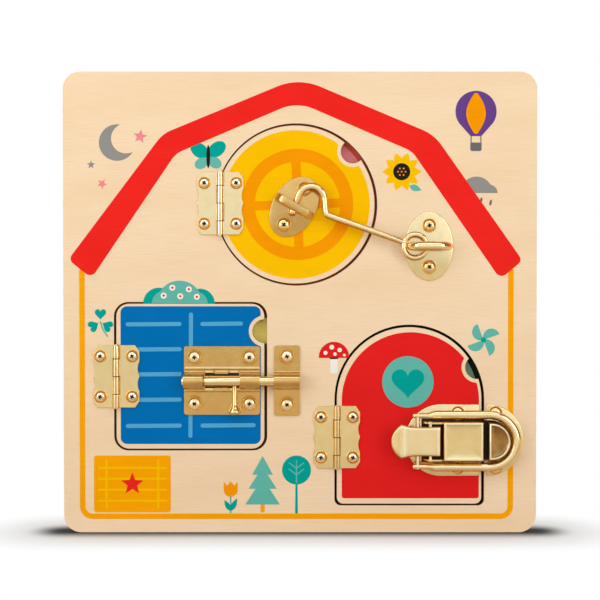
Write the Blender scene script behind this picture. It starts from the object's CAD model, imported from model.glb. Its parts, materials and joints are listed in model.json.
"""Looks of the latch board: plywood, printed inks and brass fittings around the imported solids."""

import json
import math

import bmesh
import bpy
from mathutils import Matrix, Vector


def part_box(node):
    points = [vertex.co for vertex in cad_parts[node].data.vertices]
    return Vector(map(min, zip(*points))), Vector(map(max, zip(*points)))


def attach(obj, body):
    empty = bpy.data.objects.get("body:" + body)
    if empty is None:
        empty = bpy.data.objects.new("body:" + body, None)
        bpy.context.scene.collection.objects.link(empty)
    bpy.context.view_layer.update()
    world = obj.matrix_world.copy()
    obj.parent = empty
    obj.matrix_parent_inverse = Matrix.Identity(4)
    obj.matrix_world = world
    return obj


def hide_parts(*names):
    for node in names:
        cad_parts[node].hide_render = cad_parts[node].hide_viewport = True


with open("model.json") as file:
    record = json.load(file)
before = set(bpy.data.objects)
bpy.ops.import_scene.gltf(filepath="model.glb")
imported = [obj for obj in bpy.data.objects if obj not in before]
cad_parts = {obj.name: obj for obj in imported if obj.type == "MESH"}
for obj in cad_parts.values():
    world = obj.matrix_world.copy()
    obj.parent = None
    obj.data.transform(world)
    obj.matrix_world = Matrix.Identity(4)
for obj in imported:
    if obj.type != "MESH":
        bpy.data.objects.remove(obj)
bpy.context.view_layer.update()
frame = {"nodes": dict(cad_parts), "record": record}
NODES = frame["nodes"]

MM = 0.001
TAU = 2 * math.pi


# ---- Places, in millimetres: x right, z up, out in front of the board's face ----


def at(x, z, out=0.0):
    """A point in front of the face, in metres in the row's frame."""
    return Vector((x * MM, FACE_Y - out * MM, z * MM))


def spot(point):
    """Place of a point as (x, z, out) in millimetres."""
    return point.x / MM, point.z / MM, (FACE_Y - point.y) / MM


class Box:
    """Box of a CAD node at rest: left to right along x, foot to head along z, and under to top out of the face."""

    def __init__(self, node):
        low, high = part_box(node)
        self.left, self.foot, self.top = spot(low)
        self.right, self.head, self.under = spot(high)
        self.x, self.z = self.middle = (self.left + self.right) / 2, (self.foot + self.head) / 2
        self.out = (self.under + self.top) / 2
        self.half_w, self.half_h = (self.right - self.left) / 2, (self.head - self.foot) / 2


FACE_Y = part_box("front_board")[0].y
BOARD = Box("front_board")
BACK_LAYER_OUT = Box("back_board").top


# ---- Camera, lights and floor ----

CAMERA_DISTANCE = 0.900
CAMERA_LENS = 85.2
CAMERA_SENSOR = 36
CAMERA_RISE = math.radians(1.2)
AIM = Vector((0.0, FACE_Y, 0.1477))

SIDE_POWER, OVER_POWER, REAR_POWER = 4.8, 3.4, 3.0
RIGHT_SHARE = 0.72
LIGHT_AIM = Vector((0, 0, 0.15))
# Each softbox: name, place, size and power.
SOFTBOXES = (("left", (-1.00, -0.86, 0.55), (0.55, 1.1), SIDE_POWER),
             ("right", (0.98, -0.92, 0.45), (0.42, 1.0), SIDE_POWER * RIGHT_SHARE),
             ("over", (0.0, -0.72, 1.15), (1.5, 0.34), OVER_POWER),
             ("rear", (0.0, 1.3, 0.8), (1.6, 0.8), REAR_POWER))

# Brightness of the surround from straight ahead of the board (0) over its sides (0.5) to straight behind (1).
ROOM_STOPS = ((0.0, 0.88), (0.015, 0.98), (0.045, 1.25), (0.09, 0.95), (0.14, 0.45), (0.22, 0.10),
              (0.31, 0.06), (0.38, 0.45), (0.45, 0.06), (0.60, 0.14), (0.80, 0.90))
ROOM_BLUE = 0.98
WHITE = (1, 1, 1, 1)

FLOOR_SIZE, FLOOR_DROP = 6, 0.0002
FLOOR_WHITE = 0.93
SHADOW_REACH = 0.072
CONTACT_REACH, CONTACT_SHADE = 0.028, 0.08
NEAR_FLOOR = (0.80, 0.68, 0.52, 1)
WARM_FLOOR = (1.0, 0.84, 0.57, 1)
WARM_FLOOR_FROM, WARM_FLOOR_TO = 0.22, 0.32


def add_to_scene(name, data, location, direction):
    """New camera or light that looks along direction."""
    thing = bpy.data.objects.new(name, data)
    thing.location = location
    thing.rotation_euler = direction.to_track_quat("-Z", "Y").to_euler()
    bpy.context.scene.collection.objects.link(thing)
    return thing


def make_camera():
    data = bpy.data.cameras.new("camera")
    data.lens = CAMERA_LENS
    data.sensor_width = CAMERA_SENSOR
    offset = Vector((0, -math.cos(CAMERA_RISE), math.sin(CAMERA_RISE))) * CAMERA_DISTANCE
    bpy.context.scene.camera = add_to_scene("camera", data, AIM + offset, -offset)


def make_lights():
    """Softboxes left and right of the camera, one over it, and a large one behind the board."""
    for name, place, size, power in SOFTBOXES:
        data = bpy.data.lights.new(name, "AREA")
        data.shape = "RECTANGLE"
        data.size, data.size_y = size
        data.energy = power
        add_to_scene(name, data, place, LIGHT_AIM - Vector(place))


class Graph:
    """Short calls for the nodes of a material or a world. A value is a number, a colour or another node's output."""

    def __init__(self, owner):
        owner.use_nodes = True
        self.tree = owner.node_tree
        self.tree.nodes.clear()

    def node(self, kind, inputs=(), **settings):
        node = self.tree.nodes.new(kind)
        for key, value in settings.items():
            setattr(node, key, value)
        for key, value in dict(inputs).items():
            self.feed(node.inputs[key], value)
        return node

    def feed(self, socket, value):
        if hasattr(value, "is_output"):
            self.tree.links.new(value, socket)
        else:
            socket.default_value = value

    def axes(self, source, kind="ShaderNodeTexCoord"):
        """The x, y and z outputs of a coordinate or a direction."""
        vector = self.node(kind).outputs[source]
        return self.node("ShaderNodeSeparateXYZ", {0: vector}).outputs

    def math(self, operation, first, second=0.0):
        return self.node("ShaderNodeMath", {0: first, 1: second}, operation=operation).outputs[0]

    def spread(self, value, low, high, from_low=0.35, from_high=0.65, curve="LINEAR"):
        return self.node("ShaderNodeMapRange", {"Value": value, "From Min": from_low, "From Max": from_high,
                                                "To Min": low, "To Max": high}, interpolation_type=curve).outputs[0]

    def mix(self, factor, first, second):
        return self.node("ShaderNodeMix", {0: factor, 6: first, 7: second}, data_type="RGBA").outputs[2]

    def finish(self, kind, factor, first, second):
        """Ends the tree with first where factor is 0 and second where it is 1."""
        mix = self.node("ShaderNodeMixShader", {0: factor, 1: first.outputs[0], 2: second.outputs[0]})
        self.node(kind, {0: mix.outputs[0]})


def make_world():
    """Studio surround: white to the camera, and for all else a pale front and rear with dim sides."""
    world = bpy.data.worlds.new("studio")
    bpy.context.scene.world = world
    graph = Graph(world)
    ramp = graph.node("ShaderNodeValToRGB", {0: graph.spread(graph.axes("Generated")["Y"], 0, 1, -1, 1)})
    ramp.color_ramp.interpolation = "EASE"
    while len(ramp.color_ramp.elements) < len(ROOM_STOPS):
        ramp.color_ramp.elements.new(0.5)
    for element, (place, value) in zip(ramp.color_ramp.elements, ROOM_STOPS):
        element.position = place
        element.color = (value, value, value * ROOM_BLUE, 1)
    room = graph.node("ShaderNodeBackground", {"Color": ramp.outputs[0]})
    white = graph.node("ShaderNodeBackground", {"Color": WHITE})
    seen = graph.node("ShaderNodeLightPath").outputs["Is Camera Ray"]
    graph.finish("ShaderNodeOutputWorld", seen, room, white)


def make_floor():
    """White floor that keeps the board's soft shadow and fades into the white surround."""
    bpy.ops.mesh.primitive_plane_add(size=FLOOR_SIZE, location=(0, 0, -FLOOR_DROP))
    floor = bpy.context.object
    floor.name = "floor"
    material = bpy.data.materials.new("floor_white")
    graph = Graph(material)
    x, y, _ = graph.axes("Object")
    beside = graph.math("MAXIMUM", graph.math("SUBTRACT", graph.math("ABSOLUTE", x), BOARD.right * MM))
    square = graph.math("ADD", graph.math("MULTIPLY", beside, beside), graph.math("MULTIPLY", y, y))
    distance = graph.math("SQRT", square)
    fade = graph.spread(distance, 0, 1, 0, SHADOW_REACH, "SMOOTHSTEP")
    contact = graph.spread(distance, CONTACT_SHADE, FLOOR_WHITE, -FACE_Y, CONTACT_REACH, "SMOOTHSTEP")
    far = graph.spread(distance, 0, 1, WARM_FLOOR_FROM, WARM_FLOOR_TO, "SMOOTHSTEP")
    seen = graph.node("ShaderNodeLightPath").outputs["Is Camera Ray"]
    color = graph.mix(seen, graph.mix(far, NEAR_FLOOR, WARM_FLOOR), contact)
    paint = graph.node("ShaderNodeBsdfDiffuse", {"Color": color})
    glow = graph.node("ShaderNodeEmission", {"Color": WHITE})
    graph.finish("ShaderNodeOutputMaterial", graph.math("MULTIPLY", seen, fade), paint, glow)
    floor.data.materials.append(material)


# ---- Materials ----


def linear(value):
    return value / 12.92 if value <= 0.04045 else ((value + 0.055) / 1.055) ** 2.4


def rgb(code):
    """Linear colour of an sRGB code such as EFD9B8."""
    return tuple(linear(int(code[i:i + 2], 16) / 255) for i in (0, 2, 4)) + (1,)


class Shader(Graph):
    """A principled material. Its coordinates are millimetres on the object."""

    def __init__(self, name):
        self.material = bpy.data.materials.new(name)
        super().__init__(self.material)
        self.bsdf = self.node("ShaderNodeBsdfPrincipled")
        self.node("ShaderNodeOutputMaterial", {0: self.bsdf.outputs[0]})

    def place(self, stretch=(1, 1, 1)):
        coords = self.node("ShaderNodeTexCoord")
        scale = tuple(s / MM for s in stretch)
        return self.node("ShaderNodeMapping", {0: coords.outputs["Object"], "Scale": scale}).outputs[0]

    def noise(self, scale, stretch=(1, 1, 1), detail=3.0, roughness=0.5):
        return self.node("ShaderNodeTexNoise", {"Vector": self.place(stretch), "Scale": scale, "Detail": detail,
                                                "Roughness": roughness}).outputs["Fac"]

    def bump(self, height, distance, strength):
        bump = self.node("ShaderNodeBump", {"Height": height, "Strength": strength, "Distance": distance * MM})
        self.set(Normal=bump.outputs[0])

    def set(self, **values):
        for key, value in values.items():
            self.feed(self.bsdf.inputs[key.replace("_", " ")], value)


GRAIN = {"scale": 1.6, "stretch": (0.035, 1.0, 1.0), "detail": 4, "roughness": 0.6}
PLY_T = 1.1
SAWN_MARGIN = 8
SCORCH_SHARE = 0.9
FACE_NORMAL = 0.7


def wood_face(shader):
    """Sanded birch veneer with fine level grain, soft bands and short pores. Gives its colour and its grain."""
    bands = shader.noise(0.055, (0.22, 1, 1), 4)
    grain = shader.noise(**GRAIN)
    pores = shader.noise(5.0, (0.05, 1, 1), 2, 0.7)
    color = shader.mix(shader.spread(bands, 0, 1, 0.35, 0.7), rgb("F8E0C2"), rgb("F4D9B6"))
    color = shader.mix(shader.spread(grain, 0.0, 0.45, 0.45, 0.75), color, rgb("E4C79F"))
    return shader.mix(shader.spread(pores, 0.0, 0.28, 0.62, 0.8), color, rgb("D2AE82")), grain


def plywood(name, cut_all_round):
    """Veneer on the faces, layered plies on the sawn edge, and a scorched edge where the doors were cut."""
    shader = Shader(name)
    face, grain = wood_face(shader)
    x, _, z = shader.axes("Object")
    plies = shader.node("ShaderNodeTexWave", {"Vector": shader.place(), "Scale": 1.0 / (PLY_T * 2) / 3.14,
                                              "Distortion": 0.4}, wave_type="BANDS", bands_direction="Y")
    layer = shader.mix(shader.spread(plies.outputs["Fac"], 0, 1, 0.4, 0.6), rgb("E6CBA0"), rgb("C79C68"))
    edge = shader.mix(shader.spread(shader.noise(2.5), 0, 0.5), layer, rgb("DDBB8A"))
    scorched = SCORCH_SHARE
    if not cut_all_round:
        level = shader.math("LESS_THAN", shader.math("ABSOLUTE", x), (BOARD.right - SAWN_MARGIN) * MM)
        above = shader.math("GREATER_THAN", z, SAWN_MARGIN * MM)
        below = shader.math("LESS_THAN", z, (BOARD.head - SAWN_MARGIN) * MM)
        inside = shader.math("MULTIPLY", level, shader.math("MULTIPLY", above, below))
        scorched = shader.math("MULTIPLY", inside, SCORCH_SHARE)
    edge = shader.mix(scorched, edge, rgb("602C1A"))
    normal_y = shader.axes("True Normal", "ShaderNodeNewGeometry")["Y"]
    is_face = shader.math("GREATER_THAN", shader.math("ABSOLUTE", normal_y), FACE_NORMAL)
    shader.set(Base_Color=shader.mix(is_face, edge, face), Roughness=shader.spread(grain, 0.42, 0.56),
               Specular_IOR_Level=0.2)
    shader.bump(grain, 0.03, 0.35)
    return shader.material


INK_DARKER, INK_PALER = 0.90, 1.05


def ink(name, code):
    """Screen-printed ink on veneer: a faint grain shows through it, with slight unevenness and a satin coat."""
    shader = Shader(name)
    color = rgb(code)
    darker = tuple(c * INK_DARKER for c in color[:3]) + (1,)
    paler = tuple(min(1, c * INK_PALER + 0.001) for c in color[:3]) + (1,)
    cloud = shader.noise(0.05, (0.5, 1, 1))
    grain = shader.noise(**GRAIN)
    base = shader.mix(shader.spread(cloud, 0, 1), color, paler)
    shader.set(Base_Color=shader.mix(shader.spread(grain, 0, 0.55, 0.42, 0.8), base, darker),
               Roughness=shader.spread(grain, 0.50, 0.62), Specular_IOR_Level=0.02)
    shader.bump(grain, 0.02, 0.3)
    return shader.material


SCRATCH_ROUGHNESS = (0.8, 1.25)


def brass(name, code, shade, roughness, mottling, metallic=1.0, streaks=0.0):
    """Plated brass: soft colour drift, fine scratches and slightly uneven polish."""
    shader = Shader(name)
    cloud = shader.noise(0.16)
    scratch = shader.noise(7.0, (1, 1, 0.08) if streaks else (1, 1, 1), 3, 0.6)
    smooth, rough = (roughness * share for share in SCRATCH_ROUGHNESS)
    shader.set(Base_Color=shader.mix(shader.spread(cloud, 0, mottling), rgb(code), rgb(shade)),
               Roughness=shader.spread(scratch, smooth, rough), Metallic=metallic)
    shader.bump(scratch, 0.012, 0.12 + streaks)
    return shader.material


def screw_pit():
    """Shadowed, slightly oily bottom of a screw's recess."""
    shader = Shader("recess_dark")
    grime = shader.spread(shader.noise(6.0), 0, 1)
    shader.set(Base_Color=shader.mix(grime, rgb("2A1C0C"), rgb("4A3214")), Metallic=0.4, Roughness=0.6)
    return shader.material


# Each brass: pale and deep colour, roughness, and how far the colour drifts between them.
BRASSES = {
    "satin_brass": ("FBEABC", "EFD08E", 0.21, 0.25),
    "polished_brass": ("FADC96", "F0C670", 0.08, 0.4),
    "bright_brass": ("FFF0CA", "F6DC9C", 0.15, 0.4, 0.7),
    "aged_brass": ("B48E58", "8E6A3A", 0.20, 0.9),
    "screw_brass": ("FFF9E4", "FFE6B0", 0.11, 0.5),
    "pale_brass": ("FFF8DC", "FFF0C4", 0.16, 0.4, 0.45),
    "clear_brass": ("FFE6B2", "F2C878", 0.08, 0.5),
    "under_brass": ("C89040", "9A6826", 0.12, 0.5),
    "deep_brass": ("F2C878", "D8A450", 0.12, 0.5),
}
INKS = {"red": "EE2722", "door_red": "E42222", "yellow": "FBC200", "orange": "F59A00", "wall": "F9A800",
        "blue": "0070BC", "light_blue": "55A9DB", "teal": "62B9B0", "dark_teal": "00A39D", "grey": "929292",
        "dark_grey": "6E6C72", "purple": "67428F", "pink": "EE8C93", "white": "F6F4EE", "black": "231F20",
        "olive": "F6E47C", "umber": "8A5420", "sage": "7FA98C", "maroon": "DC5642", "pine": "1C2620"}
# For an ink without a slot of its own, the ink whose slot it takes.
MATERIALS = {}


def make_materials():
    MATERIALS["plywood"] = plywood("birch_plywood", False)
    MATERIALS["door_plywood"] = plywood("birch_plywood_door", True)
    MATERIALS["bolt_brass"] = brass("brushed_brass", "E2BC78", "C69A54", 0.24, 0.25, streaks=0.1)
    MATERIALS["recess"] = screw_pit()
    for name, values in BRASSES.items():
        MATERIALS[name] = brass(name, *values)
    for name, code in INKS.items():
        MATERIALS["ink_" + name] = ink("ink_" + name, code)


# ---- Mesh building ----

SHARP = 35
SAME_POINT = 1e-7
POINT_R = 0.004


def link_object(name, bm):
    """Ends a bmesh in metres as a new object of the scene."""
    bmesh.ops.recalc_face_normals(bm, faces=bm.faces)
    mesh = bpy.data.meshes.new(name)
    bm.to_mesh(mesh)
    bm.free()
    made = bpy.data.objects.new(name, mesh)
    bpy.context.scene.collection.objects.link(made)
    return made


def mark_sharp(mesh, angle):
    """Creases every edge whose faces meet at more than angle, so that smooth shading keeps its corners."""
    bm = bmesh.new()
    bm.from_mesh(mesh)
    for edge in bm.edges:
        edge.smooth = len(edge.link_faces) == 2 and edge.calc_face_angle(0) < math.radians(angle)
    bm.to_mesh(mesh)
    bm.free()


def make_piece(name, bm, materials, body, node=None, angle=SHARP):
    """Piece that rides on a body and may replace a CAD node. It is smooth up to angle, and flat with angle 0."""
    bmesh.ops.remove_doubles(bm, verts=bm.verts, dist=SAME_POINT)
    piece = link_object(name, bm)
    for material in [materials] if isinstance(materials, str) else materials:
        piece.data.materials.append(MATERIALS[material])
    if angle:
        piece.data.shade_smooth()
        mark_sharp(piece.data, angle)
    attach(piece, body)
    if node:
        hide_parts(node)
    return piece


def ring_of(bm, points):
    return [bm.verts.new(p) for p in points]


def level(bm, outline, out):
    """Ring of vertices on an outline [(x, z)] in millimetres, all at one distance from the face."""
    return ring_of(bm, [at(x, z, out) for x, z in outline])


def skin(bm, rings, closed=True, caps=True):
    """Joins rings of equal length with quads; closed rings form a tube."""
    for first, second in zip(rings, rings[1:]):
        count = len(first)
        for i in range(count if closed else count - 1):
            j = (i + 1) % count
            bm.faces.new((first[i], first[j], second[j], second[i]))
    if caps:
        bm.faces.new(rings[0])
        bm.faces.new(rings[-1])


def inset(outline, distance):
    """Moves each point of a closed outline inwards along the mean of its sides' normals."""
    following = outline[1:] + outline[:1]
    area = sum(x * nz - nx * z for (x, z), (nx, nz) in zip(outline, following))
    distance = math.copysign(distance, area)
    inner = []
    for i, ((bx, bz), (cx, cz)) in enumerate(zip(outline, following)):
        ax, az = outline[i - 1]
        before = Vector((az - bz, bx - ax)).normalized()
        after = Vector((bz - cz, cx - bx)).normalized()
        normal = before + after
        if normal.length < 1e-6:
            normal = before
        normal.normalize()
        stretch = min(1 / max(normal.dot(before), 0.4), 2)
        inner.append((bx + normal.x * distance * stretch, bz + normal.y * distance * stretch))
    return inner


def slab(bm, outline, low, high, edge=0.0, steps=3):
    """Plate with the outline [(x, z)], from height low to high, its front edge rounded by edge."""
    rings = [level(bm, outline, low)]
    if edge:
        for a in [math.pi / 2 * k / steps for k in range(steps + 1)]:
            rings.append(level(bm, inset(outline, edge * (1 - math.cos(a))), high - edge + edge * math.sin(a)))
    else:
        rings.append(level(bm, outline, high))
    skin(bm, rings)


def lathe(bm, profile, origin, axis, sides=48):
    """Turns [(radius, height)] in millimetres about an axis through origin."""
    axis = Vector(axis).normalized()
    side = axis.orthogonal().normalized()
    up = axis.cross(side)
    spokes = [side * math.cos(TAU * k / sides) + up * math.sin(TAU * k / sides) for k in range(sides)]
    skin(bm, [ring_of(bm, [origin + axis * height * MM + spoke * max(radius, POINT_R) * MM for spoke in spokes])
              for radius, height in profile])


def sweep(bm, path, sections, up, closed=False, end_round=0.0):
    """Carries sections, one for each point, along a path across up. Their points are (across, along up)."""
    last = len(path) - 1

    def ring(i, ahead=0.0, scale=1.0):
        before = path[i - 1] if closed or i else path[i]
        after = path[(i + 1) % len(path)] if closed or i < last else path[i]
        tangent = (after - before).normalized()
        side = tangent.cross(up).normalized()
        centre = path[i] + tangent * ahead * MM
        return ring_of(bm, [centre + (side * across + up * along) * scale * MM for across, along in sections[i]])

    rings = [ring(i) for i in range(len(path))]
    if closed:
        skin(bm, rings + rings[:1], caps=False)
        return
    if end_round:
        angles = [math.pi / 2 * k / 5 for k in range(1, 5)]
        start = [ring(0, -end_round * math.sin(a), math.cos(a)) for a in angles]
        end = [ring(last, end_round * math.sin(a), math.cos(a)) for a in angles]
        rings = start[::-1] + rings + end
    skin(bm, rings)


def cut(piece, cutter_bm):
    """Cuts the solid of a bmesh away from a piece, and keeps the result as plain mesh."""
    cutter = link_object("cutter", cutter_bm)
    modifier = piece.modifiers.new("cut", "BOOLEAN")
    modifier.operation = "DIFFERENCE"
    modifier.solver = "EXACT"
    modifier.object = cutter
    bpy.context.view_layer.update()
    result = bpy.data.meshes.new_from_object(piece.evaluated_get(bpy.context.evaluated_depsgraph_get()))
    piece.modifiers.remove(modifier)
    piece.data = result
    bpy.data.objects.remove(cutter)
    mark_sharp(result, SHARP)


# ---- Outlines and paths, as lists of (x, z) in millimetres ----


def polar(cx, cz, r, angle):
    return cx + r * math.cos(math.radians(angle)), cz + r * math.sin(math.radians(angle))


def arc(cx, cz, r, start, end, count):
    """Points on a circle from start to end, in degrees."""
    return [polar(cx, cz, r, start + (end - start) * i / (count - 1)) for i in range(count)]


def circle(cx, cz, r, count=72):
    return arc(cx, cz, r, 0, 360 - 360 / count, count)


def moved(outline, dx, dz, turn=0.0):
    """Outline turned about the origin by degrees and then moved."""
    c, s = math.cos(math.radians(turn)), math.sin(math.radians(turn))
    return [(dx + x * c - z * s, dz + x * s + z * c) for x, z in outline]


def oval(cx, cz, rx, rz, turn=0.0, count=72):
    return moved([(rx * x, rz * z) for x, z in circle(0, 0, 1, count)], cx, cz, turn)


def rounded_rect(x0, z0, x1, z1, r, count=7):
    corners = ((x1 - r, z1 - r, 0), (x0 + r, z1 - r, 90), (x0 + r, z0 + r, 180), (x1 - r, z0 + r, 270))
    return [p for x, z, start in corners for p in arc(x, z, r, start, start + 90, count)]


def corner(before, point, after, radius, step, least=4):
    """Arc of the radius that rounds a corner, in pieces of about step."""
    point = Vector(point)
    u, v = (Vector(before) - point).normalized(), (Vector(after) - point).normalized()
    half = u.angle(v) / 2
    to_centre = (u + v).normalized() * (radius / math.sin(half))
    start, end = (side * (radius / math.tan(half)) - to_centre for side in (u, v))
    first = math.atan2(start.y, start.x)
    turn = (math.atan2(end.y, end.x) - first + math.pi) % TAU - math.pi
    steps = max(least, int(abs(turn) * radius / step))
    return arc(*(point + to_centre), radius, math.degrees(first), math.degrees(first + turn), steps + 1)


def bend(points, radii, step=0.5, least=4):
    """Path through points, its inner corners rounded by radii."""
    turns = [p for i, radius in enumerate(radii) for p in corner(*points[i:i + 3], radius, step, least)]
    return [points[0]] + turns + [points[-1]]


def stroke(points, width, radii=(), end_width=None):
    """Outline of a brush stroke through points, its corners rounded by radii and its ends round."""
    path = bend(points, radii, 1.0, 3)
    halves = [width / 2] * (len(path) - 1) + [(end_width or width) / 2]
    left, right = [], []
    for i, ((x, z), half) in enumerate(zip(path, halves)):
        ax, az = path[max(i - 1, 0)]
        bx, bz = path[min(i + 1, len(path) - 1)]
        heading = math.degrees(math.atan2(bz - az, bx - ax))
        left.append(polar(x, z, half, heading + 90))
        right.append(polar(x, z, half, heading - 90))

    def end_cap(index, toward):
        x, z = path[index]
        heading = math.degrees(math.atan2(z - toward[1], x - toward[0]))
        return arc(x, z, halves[index], heading + 90, heading - 90, 15)[1:-1]
    return left + end_cap(-1, path[-2]) + right[::-1] + end_cap(0, path[1])


def bite(outline, cx, cz, r):
    """Outline with a round bite taken out of its edge."""
    outside = [math.hypot(x - cx, z - cz) > r for x, z in outline]
    count = len(outline)
    start = next(i for i in range(count) if outside[i] and not outside[i - 1])
    turned = outline[start:] + outline[:start]
    kept = [p for p, keep in zip(turned, outside[start:] + outside[:start]) if keep]
    mean = [sum(values) / count for values in zip(*outline)]
    first, last, inward = (math.degrees(math.atan2(z - cz, x - cx)) for x, z in (kept[-1], kept[0], mean))
    turn = (last - first) % 360
    if (inward - first) % 360 > turn:
        turn -= 360
    return kept + arc(cx, cz, r, first, first + turn, 24)[1:-1]


def dense(outline, step=0.6):
    """Closed outline with points no more than step apart."""
    made = []
    for (x, z), (nx, nz) in zip(outline, outline[1:] + outline[:1]):
        parts = max(1, int(math.hypot(nx - x, nz - z) / step))
        made += [(x + (nx - x) * k / parts, z + (nz - z) * k / parts) for k in range(parts)]
    return made


def leaf(x, z, length, width, turn):
    """Pointed leaf from its stalk at (x, z)."""
    half = [(length * t, width / 2 * math.sin(math.pi * t ** 0.8)) for t in [i / 14 for i in range(15)]]
    return moved(half + [(a, -b) for a, b in half[1:-1][::-1]], x, z, turn)


def heart(x, z, width, height):
    """Heart curve, whose own width is 32 and height 29."""
    outline = []
    for t in [TAU * i / 72 for i in range(72)]:
        rise = 13 * math.cos(t) - 5 * math.cos(2 * t) - 2 * math.cos(3 * t) - math.cos(4 * t) + 2.5
        outline.append((x + width / 32 * 16 * math.sin(t) ** 3, z + height / 29 * rise))
    return outline


def star(x, z, outer, inner, points, turn):
    return [polar(x, z, inner if i % 2 else outer, turn + 180 * i / points) for i in range(points * 2)]


# ---- Printed inks ----

PRINT_STEP = 0.04
PRINT_T = 0.03
OVERLAP_STEP = 0.0015

# The picture is laid out in steps of LAYOUT millimetres, with y downwards and (LAYOUT_X, LAYOUT_Y) on the origin.
LAYOUT = 0.634
LAYOUT_X, LAYOUT_Y = 300.5, 533.0


def q(x, y):
    """Face point in millimetres of a layout place."""
    return (x - LAYOUT_X) * LAYOUT, (LAYOUT_Y - y) * LAYOUT


def decal(name, outlines, tint, body="board", layer=1, base=0.0):
    """Flat printed shapes, each an outline, with base as the height of what they are printed on."""
    bm = bmesh.new()
    top = base + layer * PRINT_STEP
    for i, outline in enumerate(outlines):
        slab(bm, outline, top - PRINT_T, top + i * OVERLAP_STEP)
    make_piece("print_" + name, bm, "ink_" + tint, body, angle=0)


# ---- Picture on the front: the house ----

# Corners of the roof's band: layout x and y, and radius.
ROOF = ((69.0, 259.7, 6), (163.5, 134.3, 34), (299.2, 78.3, 56), (434.4, 135.3, 44), (522.9, 260.6, 6),
        (500.6, 279.2, 7), (412.5, 151.8, 25), (297.5, 102.3, 42), (176.6, 153.9, 25), (92.2, 278.3, 7))
WALL_LEFT, WALL_RIGHT, WALL_TOP, WALL_FOOT = 82.6, 511.3, 271, 517
WALL_W, WALL_R = 3.5, 6.5


def print_house():
    """Red roof and the line of the house's walls."""
    walls = ((WALL_LEFT, WALL_TOP), (WALL_LEFT, WALL_FOOT), (WALL_RIGHT, WALL_FOOT), (WALL_RIGHT, WALL_TOP))
    decal("wall", [stroke([q(*p) for p in walls], WALL_W, (WALL_R, WALL_R))], "wall")
    band = []
    for i, (x, y, radius) in enumerate(ROOF):
        before, after = ROOF[i - 1][:2], ROOF[(i + 1) % len(ROOF)][:2]
        band += [q(*p) for p in corner(before, (x, y), after, radius, 1.2)]
    decal("roof", [band], "red", layer=2)


# ---- Picture on the doors ----

ROUND_DOOR = Box("round_door").middle
# Finger notches of the doors: their middle, their radius, and the bare rim round them.
ROUND_NOTCH = (33.28, 241.6)
SQUARE_NOTCH = (-22.65, 128.0)
ARCH_NOTCH = (112.27, 105.05)
NOTCH_R, NOTCH_RIM = 7.5, 2.3

ROUND_FIELD_R = 46.9
WINDOW, WINDOW_R, GLASS_R = (298, 204.6), 35.2, 27.0
BAR_L, BAR_W, BAR_TURN = 57.0, 5.8, 2

SQUARE_FIELD_LOW, SQUARE_FIELD_HIGH = (121.0, 444.3), (261.2, 306.3)
SQUARE_FIELD_R = 4
# The slats' lines: layout y and right end. Each rises a little to the right and has a gap at the upright line.
SLATS = ((324.0, 241.5), (349.2, 249.5), (374.2, 254.0), (399.7, 254.0), (425.8, 254.1))
SLAT_W, SLAT_RISE = 2.6, 0.4
SLAT_LEFT, SLAT_GAP_LEFT, SLAT_GAP_RIGHT = 128.2, 180.0, 203.0
UPRIGHT_TOP, UPRIGHT_FOOT = (191.5, 314.6), (190.7, 436.0)

ARCH_FIELD_LOW, ARCH_FIELD_HIGH = (342.3, 498.9), (479.7, 332.3)
HEART, HEART_DROP, HEART_W, HEART_H, DISC_R = (408.5, 382), 1.5, 20.7, 18.9, 16.3


def field(outline, notch):
    """Colour field of a door, kept clear of its finger notch."""
    return bite(outline, *notch, NOTCH_R + NOTCH_RIM)


def print_round_door():
    """Yellow disc with an orange round window."""
    decal("round_field", [field(circle(*ROUND_DOOR, ROUND_FIELD_R, 220), ROUND_NOTCH)], "yellow", "round_door")
    window = q(*WINDOW)
    decal("window_ring", [circle(*window, WINDOW_R, 144)], "orange", "round_door", 2)
    decal("window_glass", [circle(*window, GLASS_R, 120)], "yellow", "round_door", 3)
    bar = rounded_rect(-BAR_L / 2, -BAR_W / 2, BAR_L / 2, BAR_W / 2, 0.3, 2)
    bars = [moved(bar, *window, turn) for turn in (BAR_TURN + 90, BAR_TURN)]
    decal("window_bars", bars, "orange", "round_door", 4)


def print_square_door():
    """Blue square with light slats."""
    outline = rounded_rect(*q(*SQUARE_FIELD_LOW), *q(*SQUARE_FIELD_HIGH), SQUARE_FIELD_R)
    decal("square_field", [field(dense(outline), SQUARE_NOTCH)], "blue", "square_door")
    lines = []
    for y, right in SLATS:
        lines.append(((SLAT_LEFT, y + SLAT_RISE), (SLAT_GAP_LEFT, y)))
        lines.append(((SLAT_GAP_RIGHT, y), (right, y - SLAT_RISE)))
    lines.append((UPRIGHT_TOP, UPRIGHT_FOOT))
    slats = [stroke([q(*p) for p in ends], SLAT_W) for ends in lines]
    decal("square_lines", slats, "light_blue", "square_door", 2)


def print_arch_door():
    """Red arch with a heart on a disc."""
    (left, base), (right, top) = q(*ARCH_FIELD_LOW), q(*ARCH_FIELD_HIGH)
    radius = (right - left) / 2
    outline = [(left, base + 1.5), (left + 0.4, base + 0.4), (left + 1.5, base),
               (right - 1.5, base), (right - 0.4, base + 0.4), (right, base + 1.5)]
    outline += arc((left + right) / 2, top - radius, radius, 0, 180, 90)
    decal("arch_field", [field(dense(outline), ARCH_NOTCH)], "door_red", "arch_door")
    x, z = q(*HEART)
    decal("arch_disc", [circle(x, z, DISC_R)], "teal", "arch_door", 2)
    decal("arch_heart", [heart(x, z - HEART_DROP, HEART_W, HEART_H)], "dark_teal", "arch_door", 3)


# ---- Picture round the house: each motif is drawn in millimetres about its place (x, z) ----


# Stars beside the moon: layout x and y, outer and inner radius, and turn.
STARS = {"pink": ((141, 137, 4.6, 2.0, 80), (103, 184, 3.4, 1.5, 60)), "grey": ((92, 165, 2.8, 1.2, 90),)}


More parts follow.
